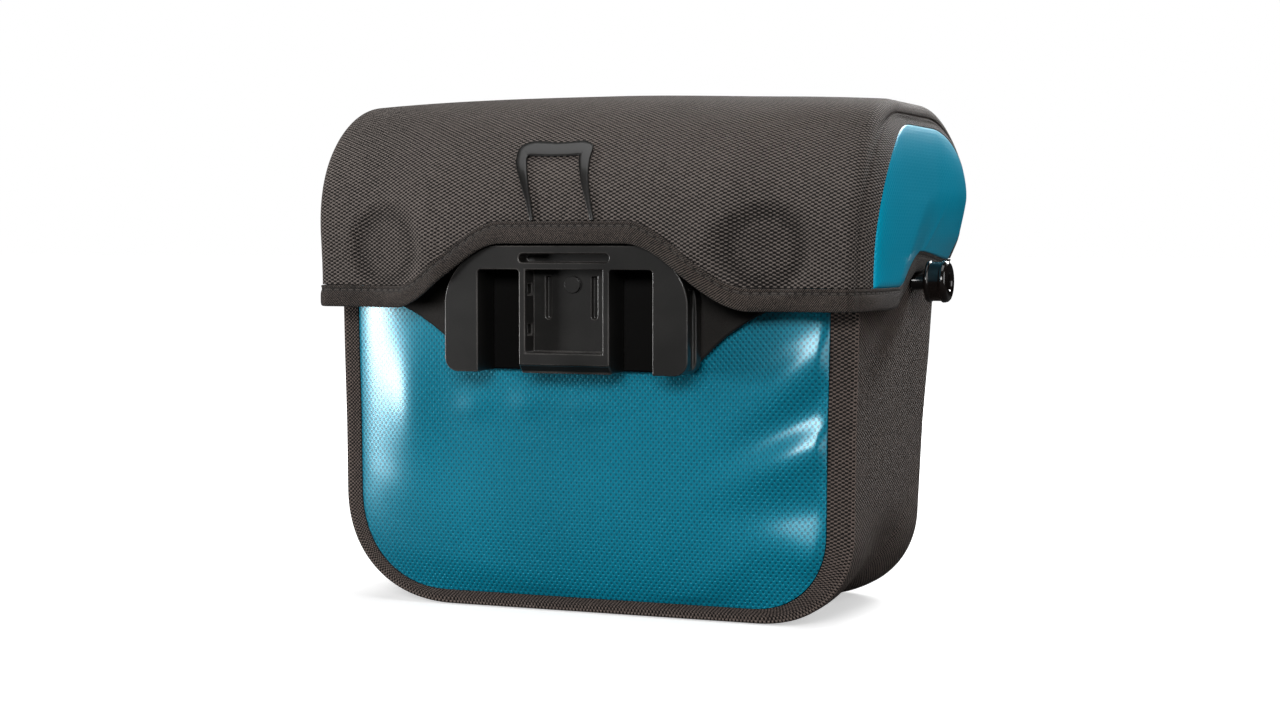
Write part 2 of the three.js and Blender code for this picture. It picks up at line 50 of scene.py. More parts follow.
MM = 0.001
rear_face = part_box("gusset_band")[0].y / MM
body_width = 243.0
body_depth = 131.0
body_height = 182.0
body_wall = 1.6
seam_gap = 0.3
rear_fold = 3.5
front_fold, front_fold_angle, front_tuck = 12.0, 54.0, 2.3
face_border, right_border, bottom_border = 8.0, 12.0, 6.0
border_corner = (10.0, 6.0)
rear_border_shares = (1.0, 0.75, 0.5, 0.25)
front_border_shares = (0.33, 0.66, 1.0)
fold_ridge, ridge_angle, ridge_spread = 0.8, 38.0, 16.0

# The strip's own width between its folds, once it lies flat, and the least step between its rows.
flat_depth, least_step = 116.0, 0.2

# The pinch of the lower corners, and a crease that slants over it. Places are across and up.
pinch_depth, pinch_power = 3.0, 2.6
pinch_height, pinch_ramp = 50.0, 25.0
pinch_from, pinch_run = 67.5, 27.0
crease_depth, crease_width, crease_slope = 0.9, 3.5, 0.9
crease_middle = (84.0, 24.0)
crease_height, crease_reach = 30.0, 14.0


def ease(value, start, end):
    """Climbs softly from 0 to 1 while a value goes from start to end."""
    share = np.clip((value - start) / (end - start), 0.0, 1.0)
    return share * share * (3.0 - 2.0 * share)


def lerp(a, b, share):
    return a + (b - a) * share


def bell(value):
    """1 at zero, and softly down to nothing on both sides of it."""
    return np.exp(-value ** 2)


def run_along(across, up, least=0.0):
    """How far each point of a line lies from its start."""
    steps = np.maximum(np.hypot(np.diff(across), np.diff(up)), least)
    return np.concatenate([[0.0], np.cumsum(steps)])


def columns_at(place, along, rows):
    """The columns of a table, read between its rows."""
    return [np.interp(place, along, column) for column in rows.T]


class Arch:
    """Two straight sides and two rounded corners at a crest. Its sizes may be arrays.

    A corner is how far it reaches across and along its side, and is round with power 2."""

    def __init__(self, start, end, base, crest, corner, far_corner, power, stops=None):
        self.start, self.end, self.base, self.crest = start, end, base, crest
        self.corner, self.far_corner, self.power = corner, far_corner, power
        self.side = 1.0 if np.mean(crest) > np.mean(base) else -1.0
        self.foot = crest - self.side * corner[1]
        self.far_foot = crest - self.side * far_corner[1]
        if stops is None:
            # A rounded corner is about 0.8 times as long as its two sizes together.
            lengths = [
                abs(self.foot - base),
                0.8 * sum(corner),
                end - start - corner[0] - far_corner[0],
                0.8 * sum(far_corner),
                abs(self.far_foot - base),
            ]
            stops = np.concatenate([[0.0], np.cumsum(lengths)])
            self.length = stops[-1]
            stops = stops / self.length
        self.stops = stops

    def moved(self, start=0.0, end=0.0, crest=0.0, across=0.0, along=0.0):
        """The same arch drawn in by these amounts at its sides, its crest and its corners."""
        return Arch(
            self.start + start, self.end - end, self.base, self.crest - self.side * crest,
            (self.corner[0] - across, self.corner[1] - along),
            (self.far_corner[0] - across, self.far_corner[1] - along),
            self.power, self.stops,
        )

    def inset(self, amount):
        return self.moved(amount, amount, amount, amount, amount)

    def at(self, share):
        """Across and height at a share of the way from the first side's base to the far one's."""
        share = np.clip(share, 0.0, 1.0)
        part = np.clip(np.searchsorted(self.stops, share, side="right") - 1, 0, 4)
        local = (share - self.stops[part]) / (self.stops[part + 1] - self.stops[part])
        power = 2.0 / self.power
        near, far = local * math.pi / 2, (1 - local) * math.pi / 2

        def run(angle):
            return 1 - np.abs(np.cos(angle)) ** power

        def rise(angle):
            return self.side * np.abs(np.sin(angle)) ** power

        crest_start, crest_end = self.start + self.corner[0], self.end - self.far_corner[0]
        across = np.choose(part, [
            self.start + 0 * local,
            self.start + self.corner[0] * run(near),
            lerp(crest_start, crest_end, local),
            self.end - self.far_corner[0] * run(far),
            self.end + 0 * local,
        ])
        height = np.choose(part, [
            lerp(self.base, self.foot, local),
            self.foot + self.corner[1] * rise(near),
            self.crest + 0 * local,
            self.far_foot + self.far_corner[1] * rise(far),
            lerp(self.far_foot, self.base, local),
        ])
        return across, height

    def share_at(self, height, far=False):
        """The share at which a side, or the corner over it, reaches a height."""
        foot = self.far_foot if far else self.foot
        corner = self.far_corner if far else self.corner
        low, middle, high = (5, 4, 3) if far else (0, 1, 2)
        on_side = (height - self.base) / (foot - self.base)
        lift = np.clip(self.side * (height - foot) / corner[1], 0.0, 1.0)
        on_corner = np.arcsin(lift ** (self.power / 2.0)) / (math.pi / 2)
        return np.where(
            lift > 0,
            lerp(self.stops[middle], self.stops[high], on_corner),
            lerp(self.stops[low], self.stops[middle], on_side),
        )


def select_only(piece):
    bpy.ops.object.select_all(action="DESELECT")
    piece.select_set(True)
    bpy.context.view_layer.objects.active = piece


def apply_modifier(piece, kind, **settings):
    select_only(piece)
    modifier = piece.modifiers.new(kind.title(), kind)
    for setting, value in settings.items():
        setattr(modifier, setting, value)
    bpy.ops.object.modifier_apply(modifier=modifier.name)


def edit_all(piece, *steps):
    """Runs edit-mode steps on the whole of a piece."""
    select_only(piece)
    bpy.ops.object.mode_set(mode="EDIT")
    bpy.ops.mesh.select_all(action="SELECT")
    for step in steps:
        step()
    bpy.ops.object.mode_set(mode="OBJECT")


def weld():
    bpy.ops.mesh.remove_doubles(threshold=1e-6)


def turn_outward():
    bpy.ops.mesh.normals_make_consistent(inside=False)


def smooth(piece, angle=50):
    select_only(piece)
    bpy.ops.object.shade_smooth_by_angle(angle=math.radians(angle))


def lay_cloth(name, columns, rows, place, closed=False, inside=(0.0, 65.0, 100.0)):
    """Adds a grid and lays each point, and its place on the flat cloth, where `place` says.

    Its faces are turned away from a point inside the bag."""
    bpy.ops.mesh.primitive_grid_add(x_subdivisions=columns, y_subdivisions=rows, size=1)
    piece = bpy.context.object
    piece.name = piece.data.name = name
    mesh = piece.data
    flat = np.empty(len(mesh.vertices) * 3)
    mesh.vertices.foreach_get("co", flat)
    share = flat.reshape(-1, 3) + 0.5
    x, y, z, u, v = np.broadcast_arrays(*place(share[:, 0], share[:, 1]))
    points = np.stack([x, y, z], 1)
    mesh.vertices.foreach_set("co", ((points + (0, rear_face, 0)) * MM).ravel())
    corners = np.empty(len(mesh.loops), int)
    mesh.loops.foreach_get("vertex_index", corners)
    cloth = np.stack([u, v], 1) * MM
    mesh.uv_layers[0].data.foreach_set("uv", cloth[corners].ravel())
    mesh.update()
    if closed:
        edit_all(piece, weld)
    facing = sum(
        (p.center / MM - Vector((inside[0], inside[1] + rear_face, inside[2]))).dot(p.normal)
        for p in mesh.polygons
    )
    if facing < 0:
        edit_all(piece, bpy.ops.mesh.flip_normals)
    return piece


def grow_wall(piece, wall, edge=0.35):
    apply_modifier(piece, "SOLIDIFY", thickness=wall * MM, offset=-1, use_even_offset=True)
    apply_modifier(piece, "BEVEL", width=edge * MM, segments=2, limit_method="ANGLE",
                   angle_limit=math.radians(55))
    smooth(piece)


# Shares of the body's width and depth at shares of its height.
body_shares = np.array([
    # height, width, depth
    [0.0, 0.985, 0.84],
    [0.22, 0.987, 0.865],
    [0.44, 0.99, 0.915],
    [0.6, 0.996, 0.965],
    [0.74, 1.0, 1.0],
    [1.0, 1.0, 1.0],
])


def width_share(z):
    return np.interp(z / body_height, body_shares[:, 0], body_shares[:, 1])


def depth_at(z):
    return body_depth * np.interp(z / body_height, body_shares[:, 0], body_shares[:, 2])


# The lower corners, which are softer on the left.
left_corner, right_corner, corner_power = (54.0, 50.0), (44.0, 40.0), 2.2

body_arch = Arch(-body_width / 2, body_width / 2, body_height, 0.0, left_corner, right_corner,
                 corner_power)
face_arch = body_arch.moved(face_border, right_border, bottom_border, *border_corner)


def gusset_profile():
    """Rows across the strip: draw-in, share of the face arch, share of the depth, shift."""
    rows = [(0, share, 0, 0) for share in rear_border_shares]
    for angle in np.linspace(90, 0, 19):
        out = rear_fold + fold_ridge * bell((angle - ridge_angle) / ridge_spread)
        turn = math.radians(angle)
        rows.append((rear_fold - out * math.cos(turn), 0, 0, rear_fold - out * math.sin(turn)))
    for share in np.linspace(0, 1, 32)[1:-1]:
        rows.append((0, 0, share, lerp(rear_fold, -front_fold, share)))
    for turn in np.radians(np.linspace(0, front_fold_angle, 9)):
        rows.append((front_fold * (1 - math.cos(turn)), 0, 1, -front_fold * (1 - math.sin(turn))))
    for share in front_border_shares:
        rows.append((0, share, 1, lerp(-front_tuck, -seam_gap, share)))
    rows = np.array(rows)
    first_fold, last_fold = len(rear_border_shares), len(rows) - len(front_border_shares) - 1
    rows[:first_fold, 0], rows[last_fold + 1:, 0] = rows[first_fold, 0], rows[last_fold, 0]
    return rows


def gusset_place(s, t):
    rows = gusset_profile()
    place, index = t * (len(rows) - 1), np.arange(len(rows))
    amount, on_face, share, shift = columns_at(place, index, rows)
    x, z = body_arch.inset(amount).at(s)
    face_x, face_z = face_arch.at(s)
    x, z = lerp(x, face_x, on_face), lerp(z, face_z, on_face)
    pinch = pinch_depth * np.sin(math.pi * share) ** pinch_power
    pinch = pinch * ease(pinch_height - z, 0, pinch_ramp)
    pinch = pinch * ease(np.abs(x) - pinch_from, 0, pinch_run)
    off = (z - crease_middle[1]) - crease_slope * (share * body_depth - crease_middle[0])
    crease = crease_depth * bell(off / crease_width) * bell((z - crease_height) / crease_reach)
    y = share * depth_at(z) + shift
    x = np.sign(x) * (np.abs(x) - pinch - crease * (1 - on_face)) * width_share(z)
    along = run_along(
        rows[:, 0] + rows[:, 1] * face_border, rows[:, 2] * flat_depth + rows[:, 3], least_step)
    return x, y, z + pinch, s * body_arch.length, np.interp(place, index, along)


class Wire:
    """A value that varies over a surface. Sums and products of wires add Math nodes."""

    def __init__(self, nodes, socket):
        self.nodes, self.socket = nodes, socket

    def math(self, operation, *others):
        values = dict(enumerate((self, *others)))
        return self.nodes.node("ShaderNodeMath", {"operation": operation}, values)

    def __add__(self, other):
        return self.math("ADD", other)

    def __sub__(self, other):
        return self.math("SUBTRACT", other)

    def __rsub__(self, other):
        return self * -1.0 + other

    def __mul__(self, other):
        return self.math("MULTIPLY", other)

    def __pow__(self, other):
        return self.math("POWER", other)

    __radd__, __rmul__ = __add__, __mul__

    def sine(self):
        return self.math("SINE")

    def size(self):
        return self.math("ABSOLUTE")

    def over(self, low, high):
        """Climbs from 0 to 1 while this goes from low to high."""
        values = {"Value": self, "From Min": low, "From Max": high}
        return self.nodes.node("ShaderNodeMapRange", {"interpolation_type": "SMOOTHSTEP"}, values)


class Nodes:
    """A tree of shader nodes, each made by `node`."""

    def __init__(self, tree):
        self.tree = tree

    def fill(self, socket, value):
        if isinstance(value, Wire):
            self.tree.links.new(value.socket, socket)
        else:
            socket.default_value = value

    def node(self, kind, settings=None, values=None, output=0):
        made = self.tree.nodes.new(kind)
        for setting, value in (settings or {}).items():
            setattr(made, setting, value)
        for socket, value in (values or {}).items():
            self.fill(made.inputs[socket], value)
        return Wire(self, made.outputs[output])


class Finish(Nodes):
    """A material of one Principled surface. Its fixed values are set on the surface itself."""

    def __init__(self, name, **fixed):
        self.material = bpy.data.materials.new(name)
        self.material.use_nodes = True
        super().__init__(self.material.node_tree)
        self.dress(**fixed)

    def dress(self, **values):
        """Sets or links the surface's own sockets."""
        surface = self.tree.nodes["Principled BSDF"]
        for socket, value in values.items():
            self.fill(surface.inputs[socket.replace("_", " ")], value)

    def split(self, vector):
        """The three parts of a place, in millimetres."""
        parts = self.node("ShaderNodeSeparateXYZ", None, {0: vector}).socket.node.outputs
        return [Wire(self, part) * (1 / MM) for part in parts]

    def cloth_place(self):
        return self.split(self.node("ShaderNodeUVMap"))[:2]

    def object_place(self):
        return self.node("ShaderNodeTexCoord", output="Object")

    def crossings(self, pitches):
        """A lattice on the flat cloth that is 1 and -1 in turn, as threads cross."""
        u, v = self.cloth_place()
        return (u * (math.pi / pitches[0])).sine() * (v * (math.pi / pitches[1])).sine()

    def noise(self, scale, detail, roughness=0.5):
        return self.node("ShaderNodeTexNoise", None, {
            "Scale": scale, "Detail": detail, "Roughness": roughness,
            "Vector": self.object_place(),
        })

    def blend(self, dark, light, factor):
        """Mixes two colours: a Mix node's sockets 6 and 7, with the mix in its output 2."""
        dark, light = (c if isinstance(c, Wire) else (*c, 1.0) for c in (dark, light))
        return self.node("ShaderNodeMix", {"data_type": "RGBA"}, {0: factor, 6: dark, 7: light}, 2)

    def show(self, color, roughness, height=None, depth=0.2):
        """Links what varies over the surface, with a relief that is `depth` millimetres high."""
        self.dress(Base_Color=color, Roughness=roughness)
        if height:
            self.dress(Normal=self.node("ShaderNodeBump", None, {
                "Strength": 1.0, "Distance": depth * MM, "Height": height,
            }))
        return self.material


def wear(piece, material, node):
    """Gives a piece its material and its body, and hides the node that it stands for."""
    piece.data.materials.clear()
    piece.data.materials.append(material)
    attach(piece, "root")
    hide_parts(node)


weave_pitches = (0.82, 1.45)
weave_dark = (0.004, 0.0031, 0.0028)
gusset_light = (0.156, 0.121, 0.106)


def woven_finish(name, light, painted_light_mark):
    """Plain-woven nylon: staggered crossings, fuzzy threads, a slightly uneven dye and painted
    light.
    """
    finish = Finish(name, Sheen_Weight=0.08, Sheen_Roughness=0.4,
                    Sheen_Tint=(0.85, 0.78, 0.72, 1.0), Specular_IOR_Level=0.2)
    crossing = finish.crossings(weave_pitches)
    thread = crossing.size() ** 0.6
    fuzz = finish.noise(1400.0, 2.0)
    patch = finish.noise(22.0, 4.0, 0.6)
    thick = finish.noise(420.0, 2.0)
    tone = crossing * 1.35 + (fuzz - 0.5) * 1.2 + (thick - 0.5) * 0.4 + (patch - 0.5) * 0.5 + 0.4
    # The tone is multiplied by painted light: a painted highlight on a fold or painted shade in a
    # press mark.
    color = finish.blend(weave_dark, light, (tone * painted_light_mark(finish)).over(0.0, 1.0))
    height = crossing * 0.8 + thread * 0.2 + fuzz * 0.4
    return finish.show(color, patch * 0.2 + 0.62, height, 0.4)


def fold_painted_highlight(finish):
    """A painted highlight: the cloth is painted pale along the sewn ridge of the rear fold."""
    across = finish.cloth_place()[1]
    ridge = 1 - (across - (face_border + 0.9 * rear_fold)).size().over(0.3, 1.3)
    # Painted highlight: the tone is raised along the fold ridge.
    return ridge * 1.8 + 1


gusset_band = lay_cloth("gusset_cloth", 260, len(gusset_profile()) - 1, gusset_place)
grow_wall(gusset_band, body_wall)
wear(gusset_band, woven_finish("gusset woven nylon", gusset_light, fold_painted_highlight),
     "gusset_band")


# Mount side panel and front panel
# The two faces are glossy coated sheet with an embossed scrim, sewn into the folded edges of the
# gusset and pushed out by the load, so they bulge and pucker along the seam.

panel_wall = 1.3
panel_corner_rows = 0.35
rear_crown = 7.0
front_crown = 5.0
face_set_back = 0.2
crown_ramp, crown_lost_at_rim, rim_from = 17.0, 0.6, 152.0
pucker_margin = 4.0

# Soft bumps and dents of the mount side's face, in millimetres, seen from outside.
rear_puckers = [
    # across, up, half length, half width, turn, height
    (99, 108, 34, 9, 38, 2.4),
    (99, 72, 32, 8, 22, 2.4),
    (108, 30, 24, 8, -6, 1.6),
    (100, 90, 28, 7, 30, -1.5),
    (102, 51, 26, 8, 10, -1.5),
    (-84, 88, 13, 26, 0, 1.9),
    (-92, 52, 16, 9, -20, 0.3),
    (-52, 90, 9, 6, 0, 0.8),
    (-26, 92, 9, 6, 0, 0.8),
    (2, 91, 10, 5, 0, 0.6),
    (60, 18, 30, 8, 35, 0.8),
    (-40, 16, 40, 7, -8, 0.6),
]
front_puckers = [
    (-96, 110, 26, 8, -28, 1.2),
    (-98, 66, 24, 8, -16, 1.3),
    (95, 118, 24, 9, 26, 1.3),
    (96, 70, 26, 8, 14, 1.2),
    (70, 22, 30, 8, 30, 0.7),
    (-60, 20, 30, 8, -30, 0.7),
]


def puckers_at(table, x, z):
    """The height of all the soft forms of a table, at a place on its face."""
    total = 0.0 * x
    for across, up, length, width, turn, height in table:
        cos, sin = math.cos(math.radians(turn)), math.sin(math.radians(turn))
        far = (x - across) * cos + (z - up) * sin
        off = (z - up) * cos - (x - across) * sin
        total = total + height * bell(far / length) * bell(off / width)
    return total


def face_edge(z, corner):
    """How far a rounded lower corner takes a face's edge inwards at a height."""
    lift = np.clip((face_arch.crest + corner[1] - z) / corner[1], 0.0, 1.0)
    return corner[0] * (1 - (1 - lift ** face_arch.power) ** (1 / face_arch.power))


def face_sheet(name, outer, crown, puckers):
    """Lays a crowned face. `outer` gives its Y from a height and a bulge."""
    def place(s, t):
        bottom = face_arch.crest + seam_gap
        corner = face_arch.corner[1] - seam_gap
        turn = np.clip(1 - t / panel_corner_rows, 0, 1) * math.pi / 2
        low = bottom + corner * (1 - np.sin(turn) ** (2 / face_arch.power))
        high = lerp(bottom + corner, body_height, (t - panel_corner_rows) / (1 - panel_corner_rows))
        z = np.where(t < panel_corner_rows, low, high)
        left = face_arch.start + seam_gap + face_edge(z - seam_gap, face_arch.corner)
        right = face_arch.end - seam_gap - face_edge(z - seam_gap, face_arch.far_corner)
        x = lerp(left, right, s)
        from_side, from_bottom = np.minimum(x - left, right - x), z - bottom
        inside = (1 - np.exp(-from_side / crown_ramp)) * (1 - np.exp(-from_bottom / crown_ramp))
        bulge = crown * inside * (1 - crown_lost_at_rim * ease(z, rim_from, body_height))
        clear = ease(np.minimum(from_side, from_bottom), 0, pucker_margin)
        bulge = bulge + puckers_at(puckers, x, z) * clear
        return x * width_share(z), outer(z, bulge), z, x, z

    sheet = lay_cloth(name, 150, 120, place)
    grow_wall(sheet, panel_wall, 0.25)
    return sheet


emboss_pitches = (1.25, 1.45)


def coated_finish(name, deep, bright, emboss=1.0, coat=0.8):
    """Glossy coated sheet: a thick colour layer over a scrim, whose squares show as dimples with
    painted shade.
    """
    finish = Finish(name, Specular_IOR_Level=0.9, Specular_Tint=(0.08, 0.75, 1.0, 1.0), IOR=1.6,
                    Coat_Weight=coat, Coat_Roughness=0.24, Coat_IOR=1.6)
    dimple = finish.crossings(emboss_pitches).over(0.0, 0.8)
    patch = finish.noise(14.0, 3.0)
    grain = finish.noise(900.0, 2.0)
    # The dimples are painted darker: painted shade in each dimple.
    tone = dimple * (-0.65 * emboss) + (patch - 0.5) * 0.4 + (grain - 0.5) * 0.1 + 0.6
    color = finish.blend(deep, bright, tone.over(0.0, 1.0))
    rough = patch * 0.08 + dimple * (0.12 * emboss) + 0.29
    return finish.show(color, rough, dimple * -emboss + grain * 0.1, 0.22)


teal_sheet = coated_finish("teal coated sheet", (0.0002, 0.088, 0.142), (0.0004, 0.236, 0.358))
mount_side = face_sheet("mount_side_sheet", lambda z, bulge: face_set_back - bulge,
                        rear_crown, rear_puckers)
wear(mount_side, teal_sheet, "mount_side_panel")
front_side = face_sheet("front_sheet", lambda z, bulge: depth_at(z) - face_set_back + bulge,
                        front_crown, front_puckers)
wear(front_side, teal_sheet, "front_panel")


# Lid cover
# The lid is one hood of the same woven nylon over a light stiffener. It runs from the flap behind
# the mount over the top to the front, and folds round onto the two ends.

lid_front, lid_top, lid_half = 154.0, 224.0, 123.8
flap_back, flap_plane = -17.5, -29.6
lid_fold = 5.0
lid_wall = 1.6
hood_base = 114.0
hem_height, hem_band = 133.0, 9.5
rear_round = 60.0
front_round = (62.0, 42.0)

# The hem's arches, over the mount and over the knob, and its lower line along the front.
mount_arch_rise, mount_arch_half, mount_arch_slope = 28.0, 82.0, 54.0
knob_y, knob_arch_top, knob_arch_from = 85.0, 148.2, 42.0
knob_arch_full, knob_arch_end, front_dip = 83.2, 88.6, 4.0

# How the plain hood is bent: its lean at the front, the flap drawn back, the crown of its top
# with a lower right half, the wider top and front corners, and the domes of its ends.
front_lean, lean_limit = 14.0, 1.4
pull_half, pull_slope, pull_run = 102.0, 43.0, 63.8
lid_crown, right_sag, sag_run = 3.0, 1.3, 0.6
top_swell, top_swell_full = 2.5, 203.0
corner_swell, corner_swell_full, corner_swell_end = 3.8, 167.0, 233.0
end_dome, dome_ramp, dome_softness, outline_softness = 6.5, 38.0, 13.0, 4.0

# The window for each end's inlay inside the lid's outline.
inlay_rear_border, inlay_front_border, inlay_top_border = 17.0, 9.0, 10.0
inlay_rear_round, inlay_front_round = (58.0, 56.0), (50.0, 30.0)

lid_arch = Arch(flap_back, lid_front, hood_base, lid_top, (rear_round, rear_round), front_round,
                2.0)
inlay_arch = Arch(flap_back + inlay_rear_border, lid_front - inlay_front_border, hood_base,
                  lid_top - inlay_top_border, inlay_rear_round, inlay_front_round, 2.0,
                  lid_arch.stops)


def rear_hem(x):
    """The height of the flap's edge, which arches over the mount."""
    return hem_height + mount_arch_rise * ease(mount_arch_half - np.abs(x), 0, mount_arch_slope)


def end_hem(y):
    """The height of an end's edge, which arches over the knob."""
    rise = (knob_arch_top - hem_height) * ease(y, knob_arch_from, knob_arch_full)
    return hem_height + rise - front_dip * ease(y, knob_arch_end, lid_front - inlay_front_border)


def lean_at(y, z):
    """How far the front leans in towards its edge."""
    down = np.clip((body_height - z) / (body_height - hem_height - hem_band), 0, lean_limit)
    return front_lean * down * ease(y, lid_front / 2, lid_front - front_round[0])


def flap_pull(x, y, z):
    """The share by which the flap is drawn out over the mount."""
    over = ease(pull_half - np.abs(x), 0, pull_slope)
    return over * ease(lid_top - z, 0, pull_run) * ease(lid_front / 2 - y, 0, lid_front / 2)


def crown_over(x, z):
    """How far the middle of the lid is raised."""
    crown = lid_crown * (1 - np.clip(np.abs(x) / lid_half, 0, 1) ** 3)
    sag = right_sag * ease(x, 0, sag_run * lid_half)
    return (crown - sag) * (z - hood_base) / (lid_top - hood_base)


def widening(y, z):
    """How far each end stands out past the plain hood."""
    top = top_swell * ease(z, hem_height + hem_band, top_swell_full)
    corner = corner_swell * ease(y, knob_y, lid_front - lid_fold)
    corner = corner * ease(z, knob_arch_top, corner_swell_full)
    return top + corner * (1 - ease(z, body_height, corner_swell_end))


def inside_end(y, z):
    """How far a point of the lid's end lies inside its outline."""
    middle_y, middle_z = flap_back + rear_round, lid_top - rear_round
    rounded = rear_round - np.hypot(y - middle_y, z - middle_z)
    rear = np.where(z < middle_z, y - flap_back, np.where(y < middle_y, rounded, lid_top - z))
    across, up = y - (lid_front - front_round[0]), z - (lid_top - front_round[1])
    angle = np.arctan2(up, across)
    reach = 1 / np.hypot(np.cos(angle) / front_round[0], np.sin(angle) / front_round[1])
    rounded = reach - np.hypot(across, up)
    front = np.where(up < 0, lid_front - y, np.where(across > 0, rounded, lid_top - z))
    nearness = np.exp(-rear / outline_softness) + np.exp(-front / outline_softness)
    return -outline_softness * np.log(nearness)


def dome_at(y, z):
    """How far an end is domed out inside its fold."""
    start = lerp(hem_height - dome_ramp, knob_arch_top, ease(y, 0, knob_y))
    rise = 1 - np.exp(-np.maximum(inside_end(y, z) - lid_fold, 0) / dome_softness)
    return end_dome * rise * ease(z, start, start + dome_ramp)


# The two round press marks: a ring pressed into the flap, a shallower disc and a raised rim.
dish_across, dish_height, dish_ring = 87.0, 158.0, 15.3
ring_depth, ring_width = 1.9, 3.4
disc_depth, disc_over, disc_ramp = 0.8, 2.0, 6.0
rim_height, rim_out, rim_width = 0.5, 6.0, 2.5

# Soft forms of the flap, in millimetres, seen from behind the bag.
flap_folds = [
    (-62, 156, 6, 19, 24, 2.2),
    (-104, 172, 9, 20, -8, 0.7),
    (60, 160, 7, 20, -26, 1.6),
    (108, 166, 6, 24, 6, 0.8),
    (0, 186, 40, 8, 0, 0.4),
]


def dish_at(x, z):
    """How deep the press marks are at a place of the flap."""
    total = 0.0 * x
    for middle in (-dish_across, dish_across):
        out = np.hypot(x - middle, z - dish_height) - dish_ring
        total = total + ring_depth * bell(out / ring_width)
        total = total + disc_depth * ease(disc_over - out, 0, disc_ramp)
        total = total - rim_height * bell((out - rim_out) / rim_width)
    return total


def lid_surface(x, y, z, at_end):
    """Bends the plain hood: drawn over the mount, leaning at the front and swollen at its ends."""
    pulled = lerp(y, flap_plane, flap_pull(x, y, z)) - lean_at(y, z)
    rear = ease(lid_front / 3 - y, 0, lid_front / 3) * (1 - at_end)
    pulled = pulled + rear * (dish_at(x, z) - puckers_at(flap_folds, x, z))
    wider = x * (1 + widening(y, z) / lid_half)
    wider = wider + np.sign(x) * at_end * dome_at(y, z)
    return wider, pulled, z + crown_over(x, z)


# Rows round each fold, on each end and over the lid's width, and the flat run of an end's cover.
fold_rows, end_rows, middle_rows = 9, 13, 130
end_run, end_least_step = 11.0, 0.1

# The groove of the seam beside the fold, with its middle and width as shares of an end's cover.
groove_depth, groove_middle, groove_width = 0.7, 0.16, 0.07


def lid_stations():
    """Rows across the lid: X, draw-in round the fold, share of the way to the end's inlay."""
    right = []
    for turn in np.radians(np.linspace(0, 90, fold_rows)):
        right.append((lid_half - lid_fold * (1 - math.sin(turn)),
                      lid_fold * (1 - math.cos(turn)), 0))
    right += [(lid_half, lid_fold, share) for share in np.linspace(0, 1, end_rows)[1:]]
    left = [(-x, inset, share) for x, inset, share in reversed(right)]
    reach = lid_half - lid_fold
    middle = [(x, 0, 0) for x in np.linspace(-reach, reach, middle_rows)[1:-1]]
    return np.array(left + middle + right)


def lid_place(s, t):
    rows = lid_stations()
    place, index = t * (len(rows) - 1), np.arange(len(rows))
    x, inset, share = columns_at(place, index, rows)
    across = run_along(rows[:, 0], rows[:, 1] + rows[:, 2] * end_run, end_least_step)
    rear_low = rear_hem(x) + hem_band + seam_gap
    front_low = end_hem(lid_front) + hem_band + seam_gap
    rings, shares = [], []
    for arch in (lid_arch.inset(inset), inlay_arch):
        first = arch.share_at(rear_low - crown_over(x, rear_low))
        last = arch.share_at(front_low - crown_over(x, front_low), far=True)
        shares.append(lerp(first, last, s))
        rings.append(arch.at(shares[-1]))
    (y, z), (inlay_y, inlay_z) = rings
    y, z = lerp(y, inlay_y, share), lerp(z, inlay_z, share)
    groove = groove_depth * bell((share - groove_middle) / groove_width)
    x, y, z = lid_surface(x, y, z, np.clip(inset / lid_fold, 0, 1))
    u, v = shares[0] * lid_arch.length, np.interp(place, index, across)
    return x - np.sign(x) * groove, y, z, u, v


def press_mark_painted_shade(finish):
    """Painted shade in the ring and the disc of each press mark, on the flap alone."""
    side, back, up = finish.split(finish.object_place())
    x, z = side.size() - dish_across, up - dish_height
    out = (x * x + z * z) ** 0.5 - dish_ring
    # Painted shade: the sunk ring and disc are painted darker.
    ring = (1 - out.size().over(0.5, 6.0)) * 0.22
    disc = (1 - out.over(-3.0, 6.0)) * 0.2
    return 1 - (ring + disc) * (back * -1.0).over(40.0, 60.0)


lid_light = (0.178, 0.150, 0.136)
lid_cover = lay_cloth("lid_cloth", 190, len(lid_stations()) - 1, lid_place, inside=(0, 68, 120))
grow_wall(lid_cover, lid_wall)
wear(lid_cover, woven_finish("lid woven nylon", lid_light, press_mark_painted_shade),
     "lid_cover")


# Lid ends
# Each end of the lid is an inlay of the same teal sheet, with a flatter emboss, and its colour is
# painted lighter than the faces' teal as painted light. It is sewn behind the cover's edge, domed
# out, and creased where it bends over the strap knob.

inlay_wall = 1.3
inlay_round_rows = 0.55
inlay_set_back = 0.3
lift_rows, lift_power = 0.75, 1.5

# The sheet puffs out of its seam, weakly at its top and more lower down, and a slanting fold runs
# up it from the knob. Places are along the end and up.
top_puff, low_puff, puff_from, puff_ramp, puff_edge = 0.25, 1.3, 192.0, 34.0, 1.9
hem_edge = 70.0
fold_height, fold_middle, fold_slope, fold_width = 0.35, (96.0, 162.0), 0.45, 2.2
fold_top, fold_reach = 166.0, 12.0


